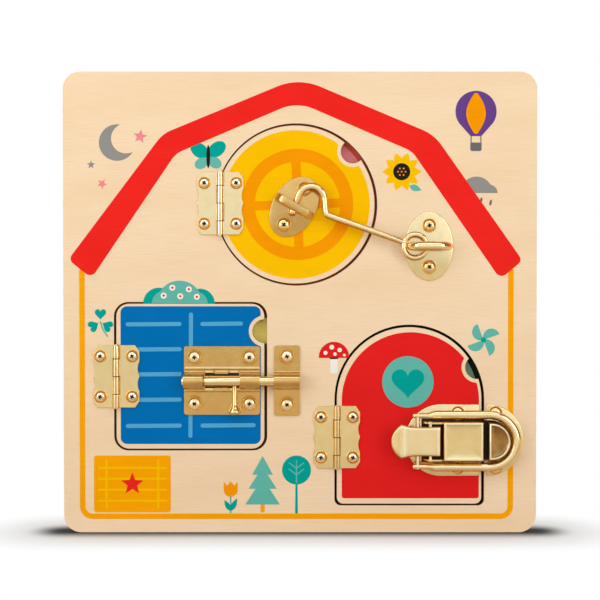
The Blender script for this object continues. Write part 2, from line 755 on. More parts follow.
def print_moon(x, z):
    """Crescent moon and the stars round it."""
    decal("moon", [bite(circle(x, z, 11.5, 160), x + 5.6, z + 2.6, 9.4)], "grey")
    for tint, stars in STARS.items():
        outlines = [star(*q(a, b), outer, inner, 5, turn) for a, b, outer, inner, turn in stars]
        decal("star_" + tint, outlines, tint)


def print_balloon(x, z):
    radius, mouth_half, mouth_drop, gore_half, gore_l = 13, 3.4, 15.6, 6.2, 28.4
    envelope = arc(x, z, radius, -35, 215, 48) + [(x + s * mouth_half, z - mouth_drop) for s in (-1, 1)]
    decal("balloon", [envelope], "purple")
    side = [(gore_half * math.sin(math.pi * t), radius - gore_l * t) for t in [i / 20 for i in range(1, 20)]]
    gore = [(x + a, z + b) for a, b in side] + [(x - a, z + b) for a, b in side[::-1]]
    decal("balloon_stripe", [gore], "orange", layer=2)
    decal("balloon_basket", [rounded_rect(x - 3.6, z - 25.0, x + 3.6, z - 19.6, 1.2)], "dark_grey")
    ropes = [stroke([(x + s * 3.0, z - 15.4), (x + s * 3.2, z - 20)], 0.7) for s in (-1, 1)]
    decal("balloon_ropes", ropes, "dark_grey")


def print_cloud(x, z):
    """Cloud of three half discs with rain."""
    base = z - 4
    puffs = ((-7, 6.6, 30), (1, 10.4, 40), (9, 5.4, 30))
    decal("cloud", [arc(x + a, base, r, 0, 180, count) for a, r, count in puffs], "grey")
    drops = [oval(x + a, z - 8.6 - b, 0.8, 1.9, -12) for a, b in ((-8, 0), (-2, 1.4), (4, 0), (10, 1.4))]
    decal("rain", drops, "dark_grey")


def print_butterfly(x, z):
    wing, lower_wing = (6.4, 4.4), (4.4, 3.4)
    decal("butterfly_wings", [oval(x - 5.6, z + 4.0, *wing, -38), oval(x + 5.4, z + 4.6, *wing, 38)], "dark_teal")
    lower = [oval(x - 4.4, z - 4.2, *lower_wing, 30), oval(x + 4.2, z - 3.8, *lower_wing, -30)]
    decal("butterfly_lower", lower, "teal", layer=2)
    decal("butterfly_body", [oval(x, z, 1.2, 7.2)], "black", layer=3)


def turns(count):
    """Evenly spread angles in degrees."""
    return [360 * i / count for i in range(count)]


def print_sunflower(x, z):
    petal_at, heart_r, seed_r, seed_at = 4.0, 5.4, 0.55, 2.4
    petals = [leaf(*polar(x, z, petal_at, a), 8.4, 5.2, a) for a in turns(10)]
    decal("sunflower_petals", petals, "yellow")
    decal("sunflower_heart", [circle(x, z, heart_r)], "black", layer=2)
    seeds = [(x, z)] + [polar(x, z, seed_at, a) for a in turns(6)]
    decal("sunflower_seeds", [circle(*seed, seed_r, 12) for seed in seeds], "orange", layer=3)
    decal("sunflower_leaf", [leaf(x + 5, z - 9, 8, 4, -20)], "teal", layer=2)


def print_bush(x, z):
    """Flowering bush of half discs, its row at the back darker."""
    decal("bush_back", [arc(x + a, z, r, 0, 180, 30) for a, r in ((-13, 10.0), (13, 9.4))], "dark_teal")
    front = [arc(x + a, z, r, 0, 180, count) for a, r, count in ((0, 14.5, 40), (-9.5, 8.0, 30), (10.5, 7.4, 30))]
    decal("bush_front", front, "teal", layer=2)
    dots = [(x + a, z + b) for a, b in ((-10, 5), (-4.5, 10), (0.5, 4.6), (6, 9), (11, 4.2))]
    decal("bush_blossom", [circle(*dot, 1.9, 24) for dot in dots], "white", layer=3)
    decal("bush_berries", [circle(*dot, 0.8, 16) for dot in dots], "red", layer=4)


def print_toadstool(x, z):
    stem_half, cap_r = 2.4, 9.6
    decal("stool_stem", [rounded_rect(x - stem_half, z - 10.5, x + stem_half, z + 2, 1.2)], "white")
    decal("stool_cap", [arc(x, z, cap_r, -4, 184, 50)], "door_red", layer=2)
    spots = ((-5.4, 2.6, 1.3), (-1.4, 6.2, 1.5), (3.6, 4.4, 1.4), (0.6, 1.8, 1.1), (6.6, 1.2, 0.9))
    decal("stool_spots", [circle(x + a, z + b, r, 20) for a, b, r in spots], "white", layer=3)
    decal("stool_line", [stroke([(x - 2.2, z - 0.9), (x + 2.2, z - 0.9)], 0.9)], "black", layer=4)


def print_clover(x, z):
    decal("clover", [moved(heart(0, 4.6, 7.2, 7.0), x, z, turn) for turn in turns(3)], "dark_teal")
    decal("clover_stalk", [stroke([(x, z), (x + 1.6, z - 5), (x + 4.4, z - 9)], 1, (6,))], "teal", layer=2)


def print_pinwheel(x, z):
    blade_r, hub_r = 5.4, 1.7
    blade = [(0, 0)] + arc(blade_r, 0, blade_r, 180, 0, 20)
    decal("pinwheel", [moved(blade, x, z, 20 + turn) for turn in turns(4)], "teal")
    decal("pinwheel_hub", [circle(x, z, hub_r, 24)], "dark_teal", layer=2)


def print_crate(x, z):
    """Slatted crate with a star, from its lower left corner."""
    width, height = 77 * LAYOUT, 57 * LAYOUT
    slat_w, margin, first, pitch, post = 1.3, 3, 7.4, 7.0, 8
    right, top = x + width, z + height
    decal("crate", [rounded_rect(x, z, right, top, 1.6)], "wall")
    slats = [((x + margin, z + first + pitch * i), (right - margin, z + first + pitch * i)) for i in range(4)]
    slats += [((a, z + margin), (a, top - margin)) for a in (x + post, right - post)]
    decal("crate_slats", [stroke(ends, slat_w) for ends in slats], "yellow", layer=2)
    decal("crate_heart", [star(x + width / 2, z + height / 2, 7.4, 3.2, 5, 90)], "red", layer=3)


def print_tulip(x, z):
    cup_r, cup_out, cup_z = 4.4, 2.2, z + 14.4
    decal("tulip_stem", [stroke([(x, z), (x, z + 12)], 1.1)], "teal")
    decal("tulip_leaf", [leaf(x, z + 1, 9, 3.4, 62), leaf(x, z + 1, 8, 3.2, 120)], "dark_teal", layer=2)
    points = ((cup_r, 5.0), (cup_out, 2.6), (0, 5.4), (-cup_out, 2.6), (-cup_r, 5.0))
    decal("tulip", [arc(x, cup_z, cup_r, 180, 360, 24) + [(x + a, cup_z + b) for a, b in points]], "orange", layer=3)


def print_fir(x, z):
    """Fir of three tiers, each with its half width, foot and height."""
    decal("fir_trunk", [rounded_rect(x - 1.3, z, x + 1.3, z + 6, 0.4)], "wall")
    tiers = [[(x - half, z + foot), (x + half, z + foot), (x, z + foot + height)]
             for half, foot, height in ((11, 5, 17), (9, 15, 14), (6.6, 24, 12))]
    decal("fir", [dense(tier, 2) for tier in tiers], "teal", layer=2)


def print_tree(x, z):
    decal("tree_trunk", [stroke([(x, z), (x, z + 20)], 1.8, end_width=1.2)], "dark_teal")
    decal("tree_crown", [circle(x, z + 27, 9.2)], "dark_teal", layer=2)
    veins = [stroke([(x, z + 24 + rise), (x + side * 4.6, z + 27.5 + rise)], 0.8, end_width=0.6)
             for rise in (0, 4) for side in (-1, 1)]
    veins.append(stroke([(x, z + 19), (x, z + 33)], 0.9, end_width=0.6))
    decal("tree_veins", veins, "teal", layer=3)


# Layout x and y of each motif; those on the ground stand on GROUND.
GROUND = 513
MOTIFS = ((print_moon, 118, 143), (print_balloon, 476, 112), (print_cloud, 475, 187), (print_butterfly, 209, 157),
          (print_sunflower, 402, 172), (print_bush, 180, 303.5), (print_toadstool, 334.5, 357),
          (print_clover, 101, 322), (print_pinwheel, 484, 340), (print_crate, 94, GROUND),
          (print_tulip, 231, GROUND), (print_fir, 263, GROUND), (print_tree, 297, GROUND))


# ---- Pictures on the back layer, seen once a door is open ----


def hide(name, outlines, tint, layer):
    """Shapes printed on the back layer."""
    decal("hidden_" + name, outlines, tint, layer=layer, base=BACK_LAYER_OUT)


def hide_balloon():
    """Balloon behind the round door."""
    x, z = ROUND_DOOR
    hide("round", [circle(x + 0.4, z, 51.2, 120)], "maroon", 1)
    hide("sky", [circle(x, z, 48.6, 120)], "pink", 2)
    hide("balloon", [oval(x, z + 6, 20, 23)], "red", 3)
    hide("knot", [[(x, z - 15), (x + 3.4, z - 20.5), (x - 3.4, z - 20.5)]], "red", 4)
    hide("string", [stroke([(x, z - 20), (x + 3, z - 30), (x - 1, z - 42)], 0.9, (14,))], "white", 3)
    hide("shine", [oval(x - 8, z + 14, 3.4, 6, -25)], "white", 4)


def hide_pear():
    """Pear on a meadow behind the square door, with a hill that shows through the door's finger notch."""
    door = Box("square_door")
    x, z = door.middle
    edge, margin = door.right + 1.8, 1.6
    hide("frame", [rounded_rect(door.left - margin, door.foot - margin, edge, door.head + margin, 8)], "umber", 1)
    meadow = rounded_rect(door.left + margin, door.foot + margin, door.right - margin, door.head - margin, 7)
    hide("meadow", [meadow], "olive", 2)
    reach = NOTCH_R + 0.6
    hill = arc(*SQUARE_NOTCH, reach, 90, 270, 30) + [(edge, SQUARE_NOTCH[1] + side * reach) for side in (-1, 1)]
    hide("hill", [hill], "olive", 3)
    hide("pear", [arc(x, z - 8, 19, 150, 390, 40) + arc(x, z + 17, 9.5, 10, 170, 24)], "yellow", 4)
    hide("pear_leaf", [leaf(x, z + 26, 14, 7, 30)], "dark_teal", 5)
    hide("pear_stalk", [stroke([(x, z + 25), (x - 2, z + 34)], 1.6, end_width=1.4)], "black", 6)


def hide_flower():
    """Flower behind the arched door."""
    door = Box("arch_door")
    half = door.half_w
    x, z = door.x, door.head - half
    for name, margin, tint, layer in (("arch_edge", 2.6, "pine", 1), ("arch_field", -1.4, "sage", 2)):
        foot = [(x + side * (half + margin), door.foot - margin) for side in (-1, 1)]
        hide(name, [foot + arc(x, z, half + margin, 0, 180, 60)], tint, layer)
    hide("stem", [stroke([(x, z), (x, door.foot + 8)], 2.4)], "dark_teal", 3)
    hide("petals", [oval(*polar(x, z, 11, turn), 8, 6.4, turn) for turn in turns(6)], "pink", 4)
    hide("middle", [circle(x, z, 6.4)], "yellow", 5)


def print_picture():
    print_house()
    print_round_door()
    print_square_door()
    print_arch_door()
    for print_motif, x, y in MOTIFS:
        print_motif(*q(x, y))
    hide_balloon()
    hide_pear()
    hide_flower()


# ---- Screws: millimetres throughout, heights from the seat of the head ----

HEAD_H, RIM_H = 1.9, 0.15
SHANK_R, SHANK_L = 1.3, 4.6
DOME_POWER = 3.4
DARK_RIM = 0.84
RECESS_L, RECESS_D, RECESS_W = 2.7, 1.3, 1.0
PIT_R, PIT_DEPTH = RECESS_L / 2 + 0.1, 0.12
HINGE_HEAD_R, LATCH_HEAD_R = 3.5, 4.1
# Raised ring round a screw's hole: inner and outer radius, and height.
HINGE_RIM, OVAL_RIM, BOLT_RIM = (3.55, 4.1, 0.7), (4.2, 4.6, 0.5), (4.45, 5.2, 0.6)
# Turn of the first recess of a node's screws, and from each screw to the next.
BOARD_TURN, DOOR_TURN, LATCH_TURN, NEXT_TURN = 8, 27, 40, 31


def screw_places(node, head_r):
    """Places of a node's screws from its box: a pair at two opposite corners, or all four corners."""
    box = Box(node)
    x0, z0, x1, z1 = box.left + head_r, box.foot + head_r, box.right - head_r, box.head - head_r
    if node == "bolt_base_screws":
        return [(x, z) for x in (x0, x1) for z in (z0, z1)]
    return [(x0, z0), (x1, z1)]


def dome_height(share):
    """Height of a screw's head at a share of its radius: nearly flat in the middle, with a steep rim."""
    return RIM_H + (HEAD_H - RIM_H) * (1 - share ** DOME_POWER)


def cross_recess(bm):
    """Tapered plus that reaches from above a screw's head down to its recess's bottom."""
    rings = []
    for height, a, b in ((HEAD_H + 0.6, RECESS_L / 2 + 0.3, RECESS_W / 2 + 0.06),
                         (HEAD_H - RECESS_D, RECESS_L / 4, RECESS_W / 2 - 0.08)):
        arm, plus = [(a, -b), (a, b), (b, b)], []
        for _ in range(4):
            plus += arm
            arm = [(-z, x) for x, z in arm]
        rings.append(ring_of(bm, [Vector((x, -height, z)) * MM for x, z in plus]))
    skin(bm, rings)


def screw_template(head_r):
    """Mesh of one screw with its seat at height 0 and its axis along -Y."""
    bm, cutter = bmesh.new(), bmesh.new()
    profile = [(SHANK_R, -SHANK_L), (SHANK_R, 0), (head_r - 0.12, 0)]
    profile += [(head_r * share, dome_height(share)) for share in [1 - (k / 14) ** 1.4 for k in range(15)]]
    lathe(bm, profile, Vector((0, 0, 0)), (0, -1, 0), 40)
    head = link_object("screw", bm)
    cross_recess(cutter)
    cut(head, cutter)
    mesh = head.data
    bpy.data.objects.remove(head)
    return mesh


def collar(bm, x, z, seat, inner, outer, height):
    """Low raised ring round a screw's hole."""
    section = ((inner, -0.1), (inner, height * 0.6), ((inner + outer) / 2, height), (outer - 0.1, height * 0.7),
               (outer, -0.1))
    rings = [level(bm, circle(x, z, r, 56), seat + h) for r, h in section]
    skin(bm, rings + rings[:1], caps=False)


def add_screws(node, body, head_r, rim, turn, dome):
    """Screws of one node as one piece, their recesses turned a little differently from one to the next."""
    seat = Box(node).top - HEAD_H
    places = screw_places(node, head_r)
    rims, bm = bmesh.new(), bmesh.new()
    for x, z in places:
        collar(rims, x, z, seat, *rim)
    make_piece(node + "_rims", rims, "polished_brass", body, angle=60)
    template = screw_template(head_r)
    for i, (x, z) in enumerate(places):
        start = len(bm.verts)
        bm.from_mesh(template)
        bm.verts.ensure_lookup_table()
        fresh = bm.verts[start:]
        spin = Matrix.Rotation(math.radians(turn + NEXT_TURN * i), 3, "Y")
        bmesh.ops.rotate(bm, verts=fresh, cent=(0, 0, 0), matrix=spin)
        bmesh.ops.translate(bm, verts=fresh, vec=at(x, z, seat))
    for face in bm.faces:
        face_x, face_z, out = spot(face.calc_center_median())
        radius = min(math.hypot(face_x - x, face_z - z) for x, z in places)
        if radius < PIT_R and out > seat:
            if out - seat < dome_height(radius / head_r) - PIT_DEPTH:
                face.material_index = 1
        elif radius > DARK_RIM * head_r:
            face.material_index = 2
    make_piece(node + "_look", bm, [dome, "recess", "deep_brass"], body, node, 30)


def build_screws():
    for name in ("round", "square", "arch"):
        for part, body, turn in (("board", "board", BOARD_TURN), ("door", name + "_door", DOOR_TURN)):
            add_screws(f"{name}_hinge_{part}_screws", body, HINGE_HEAD_R, HINGE_RIM, turn, "screw_brass")
    for node, body, rim, dome in (("hook_eye", "board", OVAL_RIM, "clear_brass"),
                                  ("hook_catch", "round_door", OVAL_RIM, "clear_brass"),
                                  ("bolt_base", "square_door", BOLT_RIM, "bright_brass"),
                                  ("bolt_keeper", "board", BOLT_RIM, "bright_brass"),
                                  ("latch_base", "arch_door", OVAL_RIM, "clear_brass"),
                                  ("latch_keeper", "board", OVAL_RIM, "clear_brass")):
        add_screws(node + "_screws", body, LATCH_HEAD_R, rim, LATCH_TURN, dome)


# ---- Hinges ----

KNUCKLE_R, LEAF_T, KNUCKLE_END_H, JOINT_LINE = 2.1, 1.0, 8.6, 0.45
KNUCKLE_CREST, KNUCKLE_SIDE = 0.6, 1.35
KNUCKLE_COVER, KNUCKLE_FROM = 0.05, 0.15


def rod_profile(radius, half):
    """Lathe profile of a plain rod with its middle at height 0."""
    return [(0, -half), (radius, -half), (radius, half), (0, half)]


def finish_knuckles(name):
    """Gives a hinge's knuckles their brighter polish and marks the dark lines between them."""
    pin, leaf = Box(name + "_hinge_pin"), Box(name + "_hinge_fixed_leaf")
    radius = KNUCKLE_R + KNUCKLE_COVER
    for part in ("_hinge_fixed_leaf", "_hinge_door_leaf"):
        mesh = NODES[name + part].data
        for finish in ("bolt_brass", "screw_brass", "deep_brass"):
            mesh.materials.append(MATERIALS[finish])
        for face in mesh.polygons:
            x, _, out = spot(face.center)
            beside = abs(x - pin.x)
            if beside < radius and out > LEAF_T + KNUCKLE_FROM:
                face.material_index = 1 if beside < KNUCKLE_CREST else 2 if beside < KNUCKLE_SIDE else 3
    bm = bmesh.new()
    for z in (leaf.head - KNUCKLE_END_H, leaf.z, leaf.foot + KNUCKLE_END_H):
        lathe(bm, rod_profile(radius, JOINT_LINE / 2), at(pin.x, z, pin.out), (0, 0, 1), 32)
    make_piece(name + "_hinge_joint_lines", bm, "recess", "board")


# ---- Round bars ----

BAR_END = 1.2


def clamp(value):
    return max(0.0, min(1.0, value))


def round_section(across, along=None, sides=28):
    return oval(0, 0, across, along or across, count=sides)


def darken_edges(piece, below, above=1.0, crest=0.97):
    """Gives a round bar a paler line along its crest and deeper brass where it looks down or straight up.

    The limits are parts of a face's unit normal: how far it looks down, up and out of the board's face.
    """
    first = len(piece.data.materials)
    for finish in ("under_brass", "bright_brass"):
        piece.data.materials.append(MATERIALS[finish])
    for face in piece.data.polygons:
        if face.normal.z < -below or face.normal.z > above:
            face.material_index = first
        elif face.normal.y < -crest:
            face.material_index = first + 1


# ---- Cabin hook ----

HOOK_RING_R, HOOK_RING_WIRE, HOOK_RING_INSET = 7.4, 1.8, 9.2
# The bend's middle from the catch's, its radius, and the angles where it starts and ends.
HOOK_BEND_X, HOOK_BEND_Z, HOOK_BEND_R, HOOK_BEND_FROM, HOOK_BEND_TO = 10.6, 4.1, 8.5, 5, 160
HOOK_HEEL_L, HOOK_HEEL_R, HOOK_TIP_L, HOOK_BALL_R = 10, 2.6, 10.9, 2.9
# Wire radius at the ring, along the bar with its heel, round the bend, and down to the tip.
HOOK_JOIN_WIRE, HOOK_BAR_WIRE, HOOK_BEND_WIRE = 1.9, 2.2, 2.35
HOOK_TIP_WIRES = (2.25, 2.05, 1.8, 1.55, 1.4, 1.4)

STAPLE_WIRE, STAPLE_R, STAPLE_SWELL, STAPLE_SWELL_FROM = 2.4, 8, 0.55, 4.5
OVAL_RX, OVAL_RZ, OVAL_T = 15.3, 22.0, 1.0
CATCH_RX, CATCH_RZ, CATCH_ANGLE = 14.0, 20.6, 30.4
STRAP_HALF, STRAP_T, STRAP_W, STRAP_AT, STRAP_CREST, STRAP_R = 13.6, 1.2, 4.6, 0.2, 9.2, 6.6
SLOT_LOW = -2.6


def catch_centre():
    (x0, z0), (x1, z1) = screw_places("hook_catch_screws", LATCH_HEAD_R)
    return (x0 + x1) / 2, (z0 + z1) / 2


def build_hook():
    """Cabin hook: ring, long bar, upright heel, round bend and a ball at its tip."""
    box = Box("hook")
    out = box.out
    ring = (box.right - HOOK_RING_INSET, box.foot + HOOK_RING_INSET)
    catch = catch_centre()
    turn = arc(catch[0] + HOOK_BEND_X, catch[1] + HOOK_BEND_Z, HOOK_BEND_R, HOOK_BEND_FROM, HOOK_BEND_TO, 31)
    heel = polar(*turn[0], HOOK_HEEL_L, HOOK_BEND_FROM - 90)
    tip = polar(*turn[-1], HOOK_TIP_L, HOOK_BEND_TO + 90)
    toward_heel = math.degrees(math.atan2(heel[1] - ring[1], heel[0] - ring[0]))
    join = polar(*ring, HOOK_RING_R, toward_heel)
    path = bend([join, heel, turn[0]], [HOOK_HEEL_R])[:-1] + turn
    steps = len(HOOK_TIP_WIRES)
    path += [polar(*turn[-1], HOOK_TIP_L * k / steps, HOOK_BEND_TO + 90) for k in range(1, steps + 1)]
    wires = [HOOK_JOIN_WIRE] + [HOOK_BAR_WIRE] * 9
    wires += [HOOK_BEND_WIRE] * (len(path) - len(wires) - steps) + list(HOOK_TIP_WIRES)
    bm = bmesh.new()
    outward = Vector((0, -1, 0))
    sweep(bm, [at(*p, out) for p in path], [round_section(wire) for wire in wires], outward, end_round=BAR_END)
    sweep(bm, [at(*p, out) for p in circle(*ring, HOOK_RING_R, 64)], [round_section(HOOK_RING_WIRE)] * 64, outward,
          closed=True)
    ball = [(HOOK_BALL_R * math.sin(math.pi * k / 16), -HOOK_BALL_R * math.cos(math.pi * k / 16)) for k in range(17)]
    axis = polar(0, 0, 1, HOOK_BEND_TO - 90)
    lathe(bm, ball, at(*tip, out), (axis[0], 0, axis[1]), 32)
    hook = make_piece("hook_look", bm, "clear_brass", "hook", "hook", 60)
    darken_edges(hook, below=0.55, above=0.8)


def build_staple():
    """Bent wire that the hook's ring turns on, swelling towards its crest."""
    box = Box("hook_eye_staple")
    x0, x1, crest = box.left + STAPLE_WIRE, box.right - STAPLE_WIRE, box.top - STAPLE_WIRE
    path = bend([(x0, box.under), (x0, crest), (x1, crest), (x1, box.under)], [STAPLE_R, STAPLE_R])
    rises = [clamp((out - STAPLE_SWELL_FROM) / (crest - STAPLE_SWELL_FROM)) for _, out in path]
    sections = [round_section(STAPLE_WIRE, STAPLE_WIRE + STAPLE_SWELL * rise) for rise in rises]
    bm = bmesh.new()
    sweep(bm, [at(x, box.z, out) for x, out in path], sections, Vector((0, 0, 1)))
    staple = make_piece("hook_eye_staple_look", bm, "clear_brass", "board", "hook_eye_staple", 60)
    darken_edges(staple, below=0.75)


def build_eye_plate():
    bm = bmesh.new()
    slab(bm, oval(*Box("hook_eye_plate").middle, OVAL_RX, OVAL_RZ, 0, 96), 0, OVAL_T, edge=0.8, steps=4)
    make_piece("hook_eye_plate_look", bm, "satin_brass", "board", "hook_eye_plate", 50)


def build_catch():
    """Oval plate with the strap that was pressed up out of it, which the hook's tip goes under."""
    x, z = catch_centre()
    bm, slot = bmesh.new(), bmesh.new()
    slab(bm, oval(x, z, CATCH_RX, CATCH_RZ, -CATCH_ANGLE, 96), 0, OVAL_T, edge=0.5)
    plate = make_piece("hook_catch_plate_look", bm, "bolt_brass", "round_door", "hook_catch_plate")
    half, top = STRAP_HALF - STRAP_T, STRAP_AT + STRAP_W / 2
    window = moved([(-half, SLOT_LOW), (half, SLOT_LOW), (half, top), (-half, top)], x, z, -CATCH_ANGLE)
    skin(slot, [level(slot, window, out) for out in (-2, 3)])
    cut(plate, slot)
    half = STRAP_HALF - STRAP_T / 2
    path = bend([(-half, 0), (-half, STRAP_CREST), (half, STRAP_CREST), (half, 0)], [STRAP_R, STRAP_R])
    points = [at(*moved([(a, STRAP_AT)], x, z, -CATCH_ANGLE)[0], height) for a, height in path]
    along = polar(0, 0, 1, 90 - CATCH_ANGLE)
    bar = rounded_rect(-STRAP_T / 2, -STRAP_W / 2, STRAP_T / 2, STRAP_W / 2, 0.58, 5)
    bm = bmesh.new()
    sweep(bm, points, [bar] * len(points), Vector((along[0], 0, along[1])))
    make_piece("hook_catch_strap_look", bm, "bolt_brass", "round_door", angle=40)


# ---- Barrel bolt ----

KNOB_STEM_R, KNOB_FLARE = 1.6, 7.4
# The knob's flare: radius and distance from its end.
KNOB_SHAPE = ((1.75, 6.2), (2.2, 4.9), (3.0, 3.5), (3.6, 2.2), (3.9, 1.4), (3.9, 0.7), (3.5, 0.15), (2.8, 0), (0, 0))
# The rod's rounded nose: distance inwards from its radius and back from its end.
ROD_CHAMFER = 0.4
ROD_NOSE = ((0, 2.2), (0.35, 1.2), (1.1, 0.45), (2.2, 0.05))

BASE_SHADE_INSET, BASE_SHADE_HALF, BASE_SHADE_OUT = 13.2, 4.8, 0.36
SHADE_T = 0.05
EAR_LEFT, EAR_RIGHT, EAR_LOW, EAR_HIGH, EAR_RISE = -53.7, -45.4, 4.95, 6.25, 0.9
RIM_GAP, RIM_LENGTH, RIM_RISE = 1.2, 5.2, 0.05
FOLD_LOW, FOLD_HIGH, CREST_HIGH, FOLD_RISE, FOLD_INSET = 6.5, 7.5, 8.7, 0.03, 0.4


def shade(name, body, x0, z0, x1, z1, out):
    """Thin darkened patch of metal: the deep inside of a pressed part."""
    bm = bmesh.new()
    slab(bm, rounded_rect(x0, z0, x1, z1, 0.5, 4), out - SHADE_T, out)
    make_piece(name, bm, "recess", body, angle=0)


def build_knob():
    knob = Box("bolt_knob")
    rod_z = Box("bolt_rod").z
    length = rod_z - knob.foot
    profile = [(KNOB_STEM_R, 0), (KNOB_STEM_R, length - KNOB_FLARE)]
    profile += [(r, length - back) for r, back in KNOB_SHAPE]
    bm = bmesh.new()
    lathe(bm, profile, at(knob.x, rod_z, knob.out), (0, 0, -1), 40)
    make_piece("bolt_knob_look", bm, "polished_brass", "bolt", "bolt_knob", 40)


def build_rod():
    box = Box("bolt_rod")
    r, length = box.half_h, box.right - box.left
    profile = [(0, 0), (r - ROD_CHAMFER, 0), (r, ROD_CHAMFER)]
    profile += [(r - inward, length - back) for inward, back in ROD_NOSE] + [(0, length)]
    bm = bmesh.new()
    lathe(bm, profile, at(box.left, box.z, box.out), (1, 0, 0))
    rod = make_piece("bolt_rod_look", bm, "satin_brass", "bolt", "bolt_rod", 50)
    darken_edges(rod, below=0.75, above=0.9, crest=1.1)


def build_bolt_base():
    """On the base: dark pocket, spring ears on both sides of the rod, the pocket's lit rims, and the fold lines."""
    box = Box("bolt_base")
    shade("bolt_base_shade", "square_door", box.left + BASE_SHADE_INSET, box.z - BASE_SHADE_HALF,
          box.right - BASE_SHADE_INSET, box.z + BASE_SHADE_HALF, BASE_SHADE_OUT)
    seat = Box("bolt_base_screws").top - HEAD_H
    left, right = box.left + FOLD_INSET, box.right - FOLD_INSET
    ears = [(EAR_LEFT, EAR_RIGHT)]
    rims = [(x, x + RIM_LENGTH) for x in (EAR_LEFT - RIM_GAP - RIM_LENGTH, EAR_RIGHT + RIM_GAP)]
    # Each row: name, finish, ends along the rod, distances from the rod's axis, its sides, and its rise.
    for name, finish, ends, near, far, sides, rise in (
            ("ears", "bright_brass", ears, EAR_LOW, EAR_HIGH, (-1, 1), EAR_RISE),
            ("rims", "satin_brass", rims, EAR_LOW, EAR_HIGH, (-1, 1), RIM_RISE),
            ("folds", "under_brass", [(left, right)], FOLD_LOW, FOLD_HIGH, (-1, 1), FOLD_RISE),
            ("crest", "satin_brass", [(left, right)], FOLD_HIGH, CREST_HIGH, (1,), FOLD_RISE)):
        bm = bmesh.new()
        for side in sides:
            z0, z1 = sorted((box.z + side * near, box.z + side * far))
            for x0, x1 in ends:
                slab(bm, rounded_rect(x0, z0, x1, z1, 0.45, 4), seat - 0.3, seat + rise, edge=0.02)
        make_piece("bolt_base_" + name, bm, finish, "square_door", angle=50)


# ---- Draw latch ----

LATCH_SHADE_RISE, SHADE_FRONT, SHADE_BACK, SHADE_SIDE = 0.06, 1, 0.4, 1.6
LID_SETBACK, LID_H, LID_UNDER = 8.1, 3.0, 1.6
# The lid's edge and raised rim: distance inwards and depth below its highest line.
LID_SHAPE = ((0.0, 0.9), (0.18, 0.4), (0.6, 0.08), (1.0, 0), (1.5, 0.06), (2.0, 0.22), (2.6, 0.32), (4.5, 0.44),
             (6.5, 0.52), (8.6, 0.54))
LID_RIM_DEPTH, LID_RIM_IN, LID_EDGE_IN = 0.16, 1.6, 0.5
PIN_EAR_R, PIN_EAR_BACK, CHEEK_FOOT, CHEEK_STEP, CHEEK_TOP = 2.6, 4.1, 1.2, 3.2, 2.0
CHEEK_OUT, CHEEK_IN, CHEEK_INSET, STEP_INSET = 0.05, 1.1, 0.3, 1.8

# The lever, as distances ahead of its pin and half widths.
LEVER_BACK, LEVER_CREASE, LEVER_TIP, LEVER_T = -6.2, 15.5, 24.6, 1.1
LEVER_HALF, LEVER_WAIST = 9.5, 0.35
FLARE_FROM, FLARE_L, FLARE_HALF, FLARE_POWER = 12, 7.0, 11.15, 1.4
TIP_CENTRE, TIP_R = 12.25, 12.4
LEVER_RISE, CREASE_DROP, CREASE_HALF, TIP_LIFT, LEVER_DISH, ROLL = 2.25, 0.95, 1.8, 1.25, 0.28, 0.75
ROLL_POWER = 14
LEVER_EDGE = 0.925
CREST_FROM, CREST_TO, CREST_FADE = -0.4, 1.9, 3.6
FLANGE_AHEAD, FLANGE_BEHIND, FLANGE_R, FLANGE_TOP, FLANGE_IN, FLANGE_OUT = 11.5, 4.6, 3.2, 0.8, 7.9, 9.0

BAIL_W, BAIL_H, BAIL_NECK_W, BAIL_NECK_H, BAIL_SWELL = 5.2, 4.2, 3.0, 2.8, 0.8
BAIL_NECK_IN = 0.5
CAP_RIM_DEPTH, CAP_BACK_DEPTH = 0.3, 0.9
CAP_CORNER = 0.6
KEEPER_SHADE_REACH, KEEPER_SHADE_LEFT = 0.8, 2.0
PLATE_CORNER = 1.6


def side_plates(bm, outline, z, inner, outer):
    """Two plates with the outline [(x, out)] on both sides of z, each from inner to outer beside it."""
    for side in (-1, 1):
        skin(bm, [ring_of(bm, [at(x, z + side * beside, out) for x, out in outline]) for beside in (inner, outer)])


def build_housing_lid(left, right, z, half, top):
    """Square lid with a raised rim, pale on its crest and deeper at its edge."""
    bm = bmesh.new()
    steps = [(1.0, LID_UNDER), (1.0, LID_H), (0.0, LID_H)] + list(LID_SHAPE)
    rings = []
    for inward, depth in steps:
        outline = rounded_rect(left + inward, z - half + inward, right - inward, z + half - inward,
                               max(1.0 - inward, 0.35), 5)
        rings.append(level(bm, outline, top - depth))
    skin(bm, rings)
    lid = make_piece("latch_housing_top_look", bm, ["satin_brass", "pale_brass", "deep_brass"], "arch_door")
    for face in lid.data.polygons:
        x, face_z, out = spot(face.center)
        inward = min(x - left, right - x, half - abs(face_z - z))
        if top - out < LID_RIM_DEPTH and inward < LID_RIM_IN:
            face.material_index = 1
        elif inward < LID_EDGE_IN:
            face.material_index = 2


